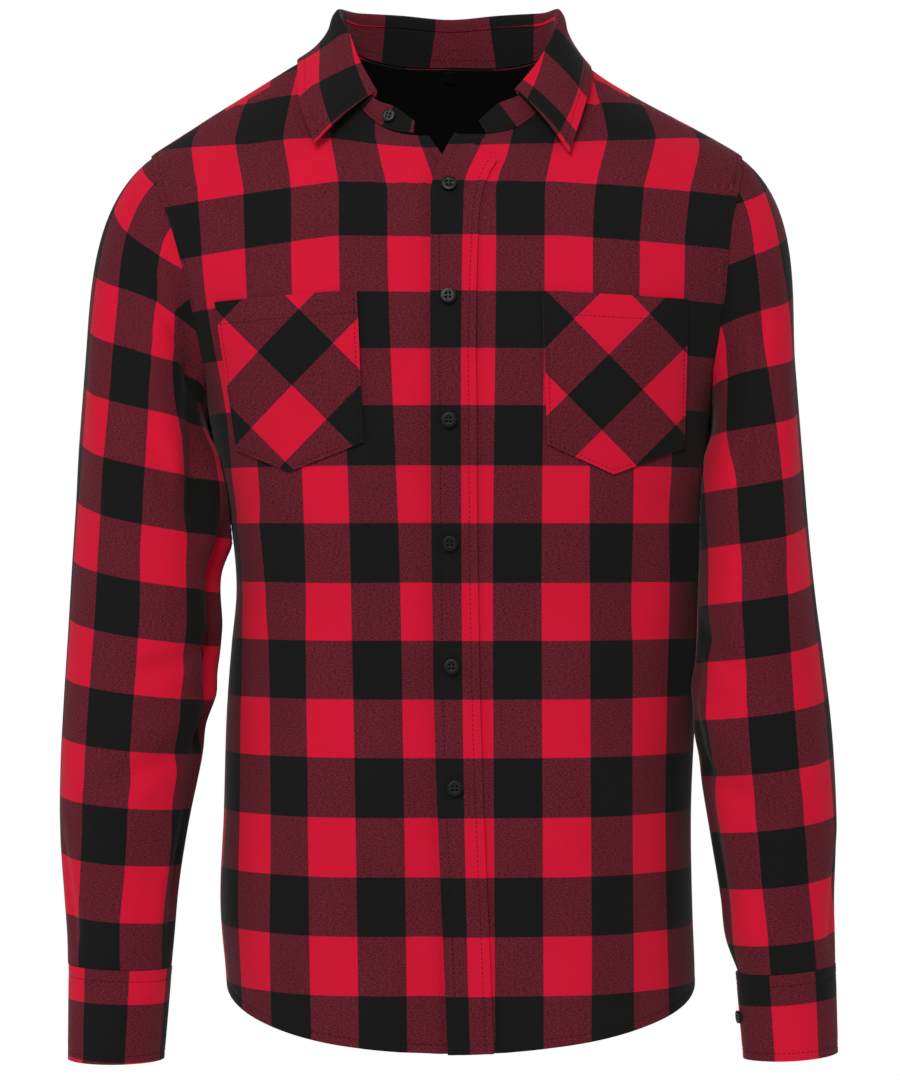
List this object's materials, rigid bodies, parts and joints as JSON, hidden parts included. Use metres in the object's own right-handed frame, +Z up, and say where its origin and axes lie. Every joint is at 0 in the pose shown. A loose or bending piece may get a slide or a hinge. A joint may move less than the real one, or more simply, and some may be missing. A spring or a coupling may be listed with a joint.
{
  "type": "flannel shirt",
  "caption": "Long-sleeved checked flannel shirt in red and black, worn form with no wearer, buttoned up to an open collar, two bias-cut chest pockets.",
  "frame": {"origin": "middle of the neck, level with the high points of the shoulder seams, where the shirt hangs from the wearer's shoulders", "axes": "+Z up, the front faces -Y, +X is the wearer's left"},
  "size_m": [0.5906, 0.2511, 0.8131],
  "materials": {
    "check_flannel": "brushed cotton twill in red and black buffalo check",
    "bias_flannel": "the same brushed cotton, cut on the bias",
    "plain_cotton": "plain black cotton",
    "button_resin": "satin black"
  },
  "bodies": {
    "root": {"front_right": "check_flannel", "front_left": "check_flannel", "back": "check_flannel", "yoke": "check_flannel", "yoke_lining": "plain_cotton", "collar_stand": "check_flannel", "collar_leaf": "check_flannel", "placket": "check_flannel", "sleeve_right": "check_flannel", "sleeve_left": "check_flannel", "cuff_right": "check_flannel", "cuff_left": "check_flannel", "sleeve_placket_right": "check_flannel", "sleeve_placket_left": "check_flannel", "pocket_right": "bias_flannel", "pocket_left": "bias_flannel", "button_1": "button_resin", "button_2": "button_resin", "button_3": "button_resin", "button_4": "button_resin", "button_5": "button_resin", "button_6": "button_resin", "button_stand": "button_resin", "button_cuff_right": "button_resin", "button_cuff_left": "button_resin", "neck_loop": "plain_cotton"}
  },
  "joints": []
}
